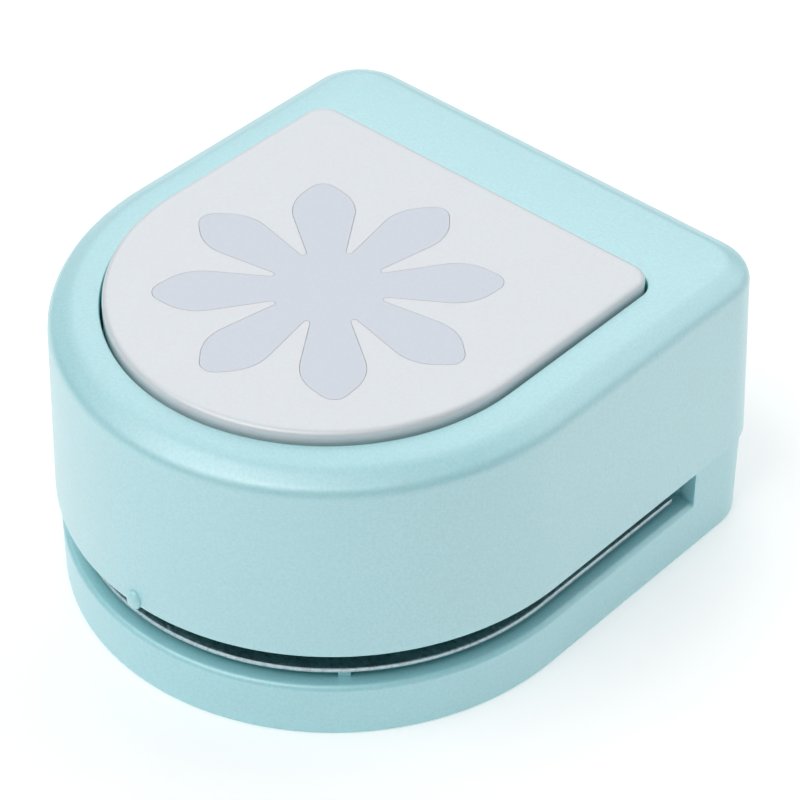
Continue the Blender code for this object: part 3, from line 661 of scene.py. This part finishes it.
def make_housing():
    ceiling = SIDE_TOP + SHOULDER_RISE - WALL
    collar = CAP_PLAY + COLLAR_WALL
    shoulder_in = SHOULDER_INSET * SHOULDER_INSET_SHARE
    shoulder = housing_outline(WALL_DRAFT + shoulder_in, BACK_DRAFT + shoulder_in)
    crease = housing_outline(WALL_DRAFT + CREASE_INSET, BACK_DRAFT + CREASE_INSET)
    sections = [
        (level(housing_outline(0, 0), SLOT_TOP), LOWER_EDGE_FILLET),
        (level(shoulder, SIDE_TOP + SHOULDER_RISE * SHOULDER_RISE_SHARE), SHOULDER_FILLET),
        (level(crease, SIDE_TOP + CREASE_RISE), CREASE_FILLET),
        (level(cap_outline(OPENING_PLAY), OPENING_TOP), OPENING_FILLET),
        (level(cap_outline(OPENING_PLAY), COLLAR_BOTTOM), 0),
        (level(cap_outline(collar), COLLAR_BOTTOM), 0),
        (level(cap_outline(collar), ceiling), 0),
        (level(housing_outline(WALL_DRAFT + WALL, BACK_DRAFT + WALL), ceiling - WALL / 2), 0),
        (level(housing_outline(WALL, WALL), SLOT_TOP), 0),
    ]
    bm = bmesh.new()
    add_loft(bm, rounded_loops(sections, ring=True), ring=True)
    housing = make_object("housing_shell", bm)

    bosses = bmesh.new()
    for x, y in BASE_SCREWS:
        add_prism(bosses, circle(x, y, BOSS_RADIUS), guide_high.z + GAP, ceiling + WELD)
    apply_shape(housing, bosses, "UNION")

    nub = bmesh.new()
    bmesh.ops.create_uvsphere(nub, u_segments=NUB_STEPS[0], v_segments=NUB_STEPS[1], radius=1.0)
    bmesh.ops.scale(nub, vec=(NUB_HALF_WIDTH, NUB_PROUD, NUB_HALF_HEIGHT), verts=nub.verts)
    nub_place = (0, BODY_Y - HOUSING_HALF * BODY_BULGE, SLOT_TOP + NUB_RISE)
    bmesh.ops.translate(nub, vec=nub_place, verts=nub.verts)
    apply_shape(housing, nub, "UNION")

    holes = bmesh.new()
    hole_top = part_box("base_screw_1")[1].z + GAP
    for x, y in BASE_SCREWS:
        add_prism(holes, circle(x, y, SCREW_RADIUS + GAP), guide_high.z - OVERCUT, hole_top)
    apply_shape(housing, holes, "DIFFERENCE")
    place(housing, "body", ["upper_housing"], MINT)


def make_base():
    block_top = SLOT_TOP - SEAM
    ledge_top = RIM_TOP - LEDGE_SINK
    lip_top = die_high.z - SHEET - LIP_GAP
    ledge_bottom = RIM_TOP - LEDGE_DEPTH
    sections = [
        (level(base_outline(0), 0.0), FOOT_ROUND),
        (level(base_outline(0), block_top), BLOCK_EDGE),
        (level(base_outline(BASE_WALL), block_top), 0),
        (level(base_outline(BASE_WALL), ledge_top), 0),
        (level(base_outline(LIP_INSET), ledge_top), 0),
        (level(base_outline(LIP_INSET), lip_top), 0),
        (level(base_outline(LEDGE_INNER), lip_top), 0),
        (level(base_outline(LEDGE_INNER), ledge_bottom), 0),
        (level(base_outline(BASE_WALL), ledge_bottom), 0),
        (level(base_outline(BASE_WALL), 0.0), 0),
    ]
    bm = bmesh.new()
    add_loft(bm, rounded_loops(sections, ring=True), ring=True)
    base = make_object("base_tray", bm)

    slot_inner = base_outline(LIP_INSET - LIP_OVERLAP)
    rim = [level(slot_inner, RIM_TOP)]
    for step in range(FILLET_STEPS + 1):
        angle = math.radians(RIM_SWEEP) * step / FILLET_STEPS
        rim.append(level(base_outline(RIM_ROUND * (RIM_START - math.sin(angle))),
                         RIM_TOP - RIM_ROUND * (1 - math.cos(angle))))
    low = rim[-1][0].z
    rim.append(level(base_outline(-OVERCUT), low - OVERCUT))
    rim.append(level(base_outline(-OVERCUT), SLOT_TOP + OVERCUT))
    rim.append(level(slot_inner, SLOT_TOP + OVERCUT))
    slot = bmesh.new()
    add_loft(slot, rim)
    behind = bmesh.ops.bisect_plane(
        slot, geom=slot.verts[:] + slot.edges[:] + slot.faces[:], plane_co=(0, BLOCK_Y, 0),
        plane_no=(0, 1, 0), clear_outer=True)
    cut_edges = [e for e in behind["geom_cut"] if isinstance(e, bmesh.types.BMEdge)]
    bmesh.ops.edgeloop_fill(slot, edges=cut_edges)
    apply_shape(base, slot, "DIFFERENCE")

    bosses = bmesh.new()
    for x, y in BASE_SCREWS:
        add_prism(bosses, circle(x, y, BOSS_RADIUS), cover_high.z + GAP, RIM_TOP - GAP)
    apply_shape(base, bosses, "UNION")

    ends = bmesh.new()
    inner_x, outer_x = TAIL_HALF + GAP, BASE_HALF - BASE_WALL + WELD
    for side in (-1, 1):
        low_x, high_x = sorted((side * inner_x, side * outer_x))
        wall = box_outline(low_x, high_x, BLOCK_Y + SLOT_END_STEP, BLOCK_Y + SLOT_END_WALL)
        add_prism(ends, wall, RIM_TOP - OVERCUT, block_top - SLOT_END_SINK)
    apply_shape(base, ends, "UNION")

    tabs = bmesh.new()
    for degrees in TAB_ANGLES:
        heading = math.radians(degrees)
        out_x, out_y = math.sin(heading), -math.cos(heading) * BODY_BULGE
        near, far = PLATE_HALF - TAB_INSET - TAB_DEPTH, PLATE_HALF - TAB_INSET
        side_x, side_y = math.cos(heading) * TAB_WIDTH / 2, math.sin(heading) * TAB_WIDTH / 2
        corners = [(out_x * reach + side * side_x, BODY_Y + out_y * reach + side * side_y)
                   for reach, side in ((near, -1), (near, 1), (far, 1), (far, -1))]
        add_prism(tabs, corners, RIM_TOP - WELD, RIM_TOP + TAB_RISE)
    apply_shape(base, tabs, "UNION")

    holes = bmesh.new()
    for x, y in BASE_SCREWS:
        add_prism(holes, circle(x, y, SCREW_RADIUS + GAP), cover_high.z - OVERCUT, RIM_TOP + OVERCUT)
    apply_shape(base, holes, "DIFFERENCE")
    place(base, "body", ["base_shell"], SHADED_MINT)


def make_cap():
    sections = [
        (level(cap_outline(-CAP_WALL), ROOF_UNDER), 0),
        (level(cap_outline(-CAP_WALL), CAP_BOTTOM), 0),
        (level(cap_outline(0), CAP_BOTTOM), CAP_LOWER_EDGE),
        (level(cap_outline(0), CAP_TOP), CAP_EDGE),
        (level(cap_outline(-CAP_EDGE - CAP_RIM), CAP_TOP), 0),
    ]
    bm = bmesh.new()
    add_loft(bm, rounded_loops(sections, ring=False))
    cap = make_object("cap_shell", bm)

    bosses = bmesh.new()
    for x, y in CAP_SCREWS:
        add_prism(bosses, circle(x, y, BOSS_RADIUS), CAP_BOTTOM, ROOF_UNDER + WELD)
    apply_shape(cap, bosses, "UNION")

    cuts = bmesh.new()
    for x, y in CAP_SCREWS:
        add_prism(cuts, circle(x, y, SCREW_RADIUS + GAP), CAP_BOTTOM - OVERCUT,
                  CAP_BOTTOM + CAP_SCREW_BITE + GAP)
    add_prism(cuts, flower_outline(), flower_low.z - GAP, CAP_TOP + OVERCUT)
    apply_shape(cap, cuts, "DIFFERENCE")
    place(cap, "press", ["press_cap"], PALE_GREY)


def make_flower():
    bm = bmesh.new()
    add_prism(bm, flower_outline(-FLOWER_GAP), flower_low.z, CAP_TOP)
    flower = make_object("flower_mark", bm)
    place(flower, "press", ["flower_inlay"], LAVENDER)


# Plates

def make_plate(name, node, body, outline, holes, edge, material):
    """A flat plate with rounded edges between its node's lower and upper face."""
    low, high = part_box(node)
    sections = [
        (level(offset_outline(outline, -2 * edge), low.z), 0),
        (level(outline, low.z), edge),
        (level(outline, high.z), edge),
        (level(offset_outline(outline, -2 * edge), high.z), 0),
    ]
    bm = bmesh.new()
    add_loft(bm, rounded_loops(sections, ring=False))
    plate = make_object(name, bm)
    cuts = bmesh.new()
    for hole, bottom, top in holes:
        add_prism(cuts, hole, low.z - OVERCUT if bottom is None else bottom,
                  high.z + OVERCUT if top is None else top)
    if holes:
        apply_shape(plate, cuts, "DIFFERENCE")
    return place(plate, body, [node], material)


def make_die(holes):
    """The cutting plate: a thin rim that lies on the base's lip round a thicker middle."""
    rim, under = plate_outline(PLATE_HALF), die_high.z - SHEET
    sections = [
        (level(offset_outline(rim, -2 * SHEET_EDGE), under), 0),
        (level(rim, under), SHEET_UNDER_EDGE),
        (level(rim, die_high.z), SHEET_EDGE),
        (level(offset_outline(rim, -2 * SHEET_EDGE), die_high.z), 0),
    ]
    bm = bmesh.new()
    add_loft(bm, rounded_loops(sections, ring=False))
    die = make_object("die_sheet", bm)
    middle = bmesh.new()
    add_prism(middle, base_outline(LEDGE_INNER + GAP), die_low.z, under + SHEET / 2)
    apply_shape(die, middle, "UNION")
    cuts = bmesh.new()
    for hole in holes:
        add_prism(cuts, hole, die_low.z - OVERCUT, die_high.z + OVERCUT)
    apply_shape(die, cuts, "DIFFERENCE")
    place(die, "body", ["die_plate"], STEEL)


def through(outlines):
    return [(outline, None, None) for outline in outlines]


def make_plates():
    fasteners = [circle(x, y, SCREW_RADIUS + GAP) for x, y in BASE_SCREWS]
    fasteners += [circle(x, y, RIVET_RADIUS + GAP) for x, y in RIVETS]
    opening = [flower_outline(GAP)]
    posts = [circle(x, y, POST_RADIUS + GAP) for x, y in POSTS]

    make_die(opening + fasteners)
    make_plate("guide_sheet", "guide_plate", "body", plate_outline(PLATE_HALF - GUIDE_INSET),
               through(opening + fasteners + posts), GUIDE_EDGE, STEEL)
    make_plate("spacer_sheet", "rear_spacer", "body", tail_outline(BLOCK_Y - PAPER_STOP),
               through(fasteners), SPACER_EDGE, STEEL)

    outlet = circle(0, FLOWER_Y, FLOWER_RADIUS + OUTLET_MARGIN, OUTLET_STEPS)
    pockets = [(circle(x, y, SCREW_HEAD_RADIUS + GAP), None, HEAD_POCKET) for x, y in BASE_SCREWS]
    shanks = [(circle(x, y, SCREW_RADIUS + GAP), HEAD_POCKET - GAP, None) for x, y in BASE_SCREWS]
    cover = base_outline(BASE_WALL + GAP)
    make_plate("cover_sheet", "bottom_cover", "body", cover, through([outlet]) + pockets + shanks,
               COVER_EDGE, SHADED_MINT)

    pocket_top = holder_low.z + HEAD_POCKET
    pockets = [(circle(x, y, SCREW_HEAD_RADIUS + GAP), None, pocket_top) for x, y in CAP_SCREWS]
    shanks = [(circle(x, y, SCREW_RADIUS + GAP), pocket_top - GAP, None) for x, y in CAP_SCREWS]
    make_plate("holder_sheet", "punch_holder", "press", cap_outline(CAP_PLAY + HOLDER_LIP),
               through(posts) + pockets + shanks, HOLDER_EDGE, STEEL)
    make_plate("blade_block", "punch_blade", "press", flower_outline(), [], BLADE_EDGE,
               BLADE_STEEL)


# Fasteners, posts and springs

def make_turned(name, node, body, profile, material, recess=None):
    """A round piece from (radius, z, rounding) rings, bottom to top, on the axis of its node."""
    low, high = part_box(node)
    x, y = (low.x + high.x) / 2, (low.y + high.y) / 2
    sections = [(level(circle(x, y, radius), z), rounding) for radius, z, rounding in profile]
    bm = bmesh.new()
    add_loft(bm, rounded_loops(sections, ring=False))
    piece = make_object(name, bm)
    if recess:
        cross = bmesh.new()
        arm, half = CROSS_ARM, CROSS_WIDTH
        points = [(arm, -half), (arm, half), (half, half), (half, arm),
                  (-half, arm), (-half, half), (-arm, half), (-arm, -half),
                  (-half, -half), (-half, -arm), (half, -arm), (half, -half)]
        add_loft(cross, [[Vector((x + px * share, y + py * share, z)) for px, py in points]
                         for share, z in recess])
        apply_shape(piece, cross, "DIFFERENCE")
    return place(piece, body, [node], material)


def make_screws():
    for prefix, body, count in (("base_screw", "body", 4), ("cap_screw", "press", 4)):
        for number in range(1, count + 1):
            low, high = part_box(f"{prefix}_{number}")
            shoulder = low.z + SCREW_HEAD
            profile = [
                (SCREW_HEAD_RADIUS - SCREW_HEAD_FLAT, low.z, 0),
                (SCREW_HEAD_RADIUS, low.z, SCREW_HEAD_EDGE),
                (SCREW_HEAD_RADIUS, shoulder, TURNED_EDGE),
                (SCREW_RADIUS, shoulder, 0),
                (SCREW_RADIUS, high.z - SCREW_TIP, 0),
                (SCREW_RADIUS - SCREW_TIP, high.z, 0),
            ]
            face, floor = CROSS_TAPER
            recess = [(face, low.z - TURNED_EDGE), (floor, low.z + CROSS_DEPTH)]
            make_turned(f"{prefix}_fine_{number}", f"{prefix}_{number}", body, profile,
                        ZINC, recess)


def make_rivets():
    for number in (1, 2):
        low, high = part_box(f"plate_rivet_{number}")
        head = (high.x - low.x) / 2
        inner, outer = (head * share for share in RIVET_DOME_SHARES)
        profile = [
            (inner, low.z, 0),
            (outer, low.z, RIVET_DOME),
            (head, low.z + RIVET_HEAD, TURNED_EDGE),
            (RIVET_RADIUS, low.z + RIVET_HEAD, 0),
            (RIVET_RADIUS, high.z - RIVET_HEAD, 0),
            (head, high.z - RIVET_HEAD, TURNED_EDGE),
            (outer, high.z, RIVET_DOME),
            (inner, high.z, 0),
        ]
        make_turned(f"rivet_fine_{number}", f"plate_rivet_{number}", "body", profile,
                    ZINC)


def make_posts():
    for number in range(1, 5):
        low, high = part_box(f"guide_post_{number}")
        profile = [
            (POST_RADIUS - POST_FOOT, low.z, 0),
            (POST_RADIUS, low.z + POST_FOOT, 0),
            (POST_RADIUS, high.z - POST_TIP, POST_EDGE),
            (POST_RADIUS - POST_TIP, high.z, 0),
        ]
        make_turned(f"post_fine_{number}", f"guide_post_{number}", "body", profile,
                    ZINC)


def spring_height(turn, low, high):
    """Centre height of the wire: close end turns and an even pitch between them."""
    middle_pitch = (high - low - 2 * SPRING_END_PITCH) / (SPRING_TURNS - 2)
    if turn < 1:
        return low + SPRING_END_PITCH * turn
    if turn > SPRING_TURNS - 1:
        return high - SPRING_END_PITCH * (SPRING_TURNS - turn)
    return low + SPRING_END_PITCH + middle_pitch * (turn - 1)


def make_springs():
    for number in range(1, 5):
        node = f"return_spring_{number}"
        low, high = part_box(node)
        x, y = POSTS[number - 1]
        radius = (high.x - low.x) / 2 - WIRE_RADIUS
        bm = bmesh.new()
        sections = []
        for index in range(SPRING_TURNS * SPRING_STEPS + 1):
            turn = index / SPRING_STEPS
            angle = 2 * math.pi * turn
            out = Vector((math.cos(angle), math.sin(angle), 0))
            centre = Vector((x, y, spring_height(turn, low.z + WIRE_RADIUS, high.z - WIRE_RADIUS)))
            centre += out * radius
            section = []
            for step in range(WIRE_STEPS):
                round_wire = 2 * math.pi * step / WIRE_STEPS
                rise = Vector((0, 0, WIRE_RADIUS * math.sin(round_wire)))
                section.append(centre + out * WIRE_RADIUS * math.cos(round_wire) + rise)
            sections.append(section)
        add_loft(bm, sections)
        spring = make_object(f"coil_fine_{number}", bm, sharp_angle=COIL_SHARP_ANGLE)
        place(spring, "body", [node], SPRING_STEEL)
        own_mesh(spring)


# Studio

CAMERA_AZIMUTH = 41.71            # degrees; 0 looks along +Y
CAMERA_ELEVATION = 39.92
CAMERA_ROLL = 0.278
CAMERA_LENS = 132.9
CAMERA_DISTANCE = 0.39848
CAMERA_SENSOR = 36.0
CAMERA_CLIP = (0.01, 20.0)
CAMERA_AIM = Vector((-0.0019, 0.0109, 0.0139))

SOFTBOXES = (                     # name, azimuth, elevation, distance, size, power
    ("horizon_softbox", 221, 12, 1.7, (3.2, 0.7), 0.5),
    ("sheen_softbox", 221, 40, 1.7, (1.4, 0.7), 4.4),
    ("back_softbox", 221, 62, 1.7, (3.2, 1.2), 8.6),
    ("right_back_softbox", 160, 35, 1.6, (1.4, 1.2), 5.2),
    ("left_back_softbox", -120, 20, 1.6, (2.0, 0.8), 1.8),
    ("key_softbox", -20, 35, 1.5, (1.2, 0.8), 2.1),
    ("high_softbox", -20, 60, 1.5, (1.2, 0.8), 8.8),
    ("front_high_softbox", 41, 65, 1.5, (1.2, 0.8), 3.8),
    ("front_softbox", 41, 28, 1.5, (2.0, 0.8), 1.4),
    ("edge_softbox", 132, 21, 1.4, (0.8, 1.0), 1.2),
)

FLOOR_TONES = (0.83, 0.85)
FLOOR_ROUGHNESS = 0.9
FLOOR_LIGHT = 0.3                 # glow that keeps the floor pale under the object
FLOOR_REACH = 3.0
FLOOR_DROP = 0.02 * MM
SKY_STRENGTH = 0.08


def direction(azimuth, elevation):
    """Unit vector from the object towards a place in the studio."""
    a, e = math.radians(azimuth), math.radians(elevation)
    return Vector((math.sin(a) * math.cos(e), -math.cos(a) * math.cos(e), math.sin(e)))


def make_camera():
    back = direction(CAMERA_AZIMUTH, CAMERA_ELEVATION)
    camera = bpy.data.objects.new("camera", bpy.data.cameras.new("camera"))
    camera.data.lens = CAMERA_LENS
    camera.data.sensor_width = CAMERA_SENSOR
    camera.data.clip_start, camera.data.clip_end = CAMERA_CLIP
    camera.location = CAMERA_AIM + back * CAMERA_DISTANCE
    facing = (-back).to_track_quat("-Z", "Y").to_matrix().to_4x4()
    camera.matrix_world = (Matrix.Translation(camera.location) @ facing
                           @ Matrix.Rotation(math.radians(CAMERA_ROLL), 4, "Z"))
    bpy.context.scene.collection.objects.link(camera)
    bpy.context.scene.camera = camera


def make_softbox(name, azimuth, elevation, distance, size, power):
    lamp = bpy.data.lights.new(name, "AREA")
    lamp.shape = "RECTANGLE"
    lamp.size, lamp.size_y = size
    lamp.energy = power
    obj = bpy.data.objects.new(name, lamp)
    towards = direction(azimuth, elevation)
    obj.location = towards * distance
    obj.rotation_euler = towards.to_track_quat("Z", "Y").to_euler()
    bpy.context.scene.collection.objects.link(obj)


def make_studio():
    bm = bmesh.new()
    bmesh.ops.create_grid(bm, x_segments=1, y_segments=1, size=FLOOR_REACH)
    floor = make_object("floor", bm)
    material, tree, shader, coordinates = start_material("studio_floor")
    mottle = noise_node(tree, coordinates, FLOOR_MOTTLE, 3)
    tones = [shaded(WHITE, tone) for tone in FLOOR_TONES]
    colour = ramp_node(tree, mottle, "Fac", 0.3, 0.7, tones)
    link(tree, colour, "Color", shader, "Base Color")
    shader.inputs["Roughness"].default_value = FLOOR_ROUGHNESS
    shader.inputs["Emission Color"].default_value = (*WHITE, 1.0)
    shader.inputs["Emission Strength"].default_value = FLOOR_LIGHT
    floor.data.materials.append(material)
    floor.location.z = -FLOOR_DROP

    world = bpy.data.worlds.new("studio")
    world.use_nodes = True
    background = world.node_tree.nodes["Background"]
    background.inputs["Color"].default_value = (*WHITE, 1.0)
    background.inputs["Strength"].default_value = SKY_STRENGTH
    bpy.context.scene.world = world

    for softbox in SOFTBOXES:
        make_softbox(*softbox)
    bpy.context.scene.view_settings.view_transform = "Standard"


make_housing()
make_base()
make_cap()
make_flower()
make_plates()
make_screws()
make_rivets()
make_posts()
make_springs()
make_camera()
make_studio()
